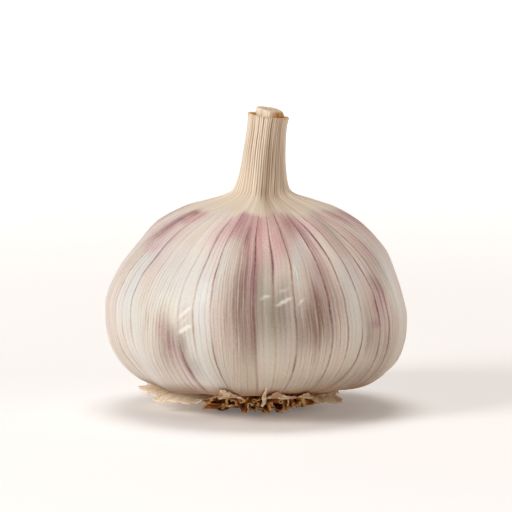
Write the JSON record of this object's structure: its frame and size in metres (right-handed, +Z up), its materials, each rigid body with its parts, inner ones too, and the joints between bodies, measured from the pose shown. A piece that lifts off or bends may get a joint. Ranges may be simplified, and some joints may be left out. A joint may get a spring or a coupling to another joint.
{
  "type": "garlic bulb",
  "caption": "Whole dry garlic bulb in papery, veined skin, with a short cut neck, a woody stem core, torn skin ends underneath and trimmed roots that it stands on.",
  "frame": {"origin": "middle of the flat cut underside of the roots, which the bulb stands on", "axes": "+Z up along the neck, -Y towards the front of the bulb, +X to the right, the side the neck leans to"},
  "size_m": [0.0601, 0.0604, 0.0603],
  "materials": {
    "papery_skin": "dry papery skin, satin, cream with purple-brown veins and pink flushes",
    "stem_core": "dry fibrous stem, matte, cream to golden brown with a grey-pink cut end",
    "roots": "dry crumpled root stubs, matte, golden brown with dark gaps",
    "torn_skin": "thin dry skin, pale cream and beige with fine fibres, slightly translucent"
  },
  "bodies": {
    "root": {"bulb": "papery_skin", "stem_core": "stem_core", "root_tuft": "roots", "skin_flap_left": "torn_skin", "skin_flap_right": "torn_skin", "skin_flap_back": "torn_skin", "skin_collar_front": "torn_skin"}
  },
  "joints": []
}
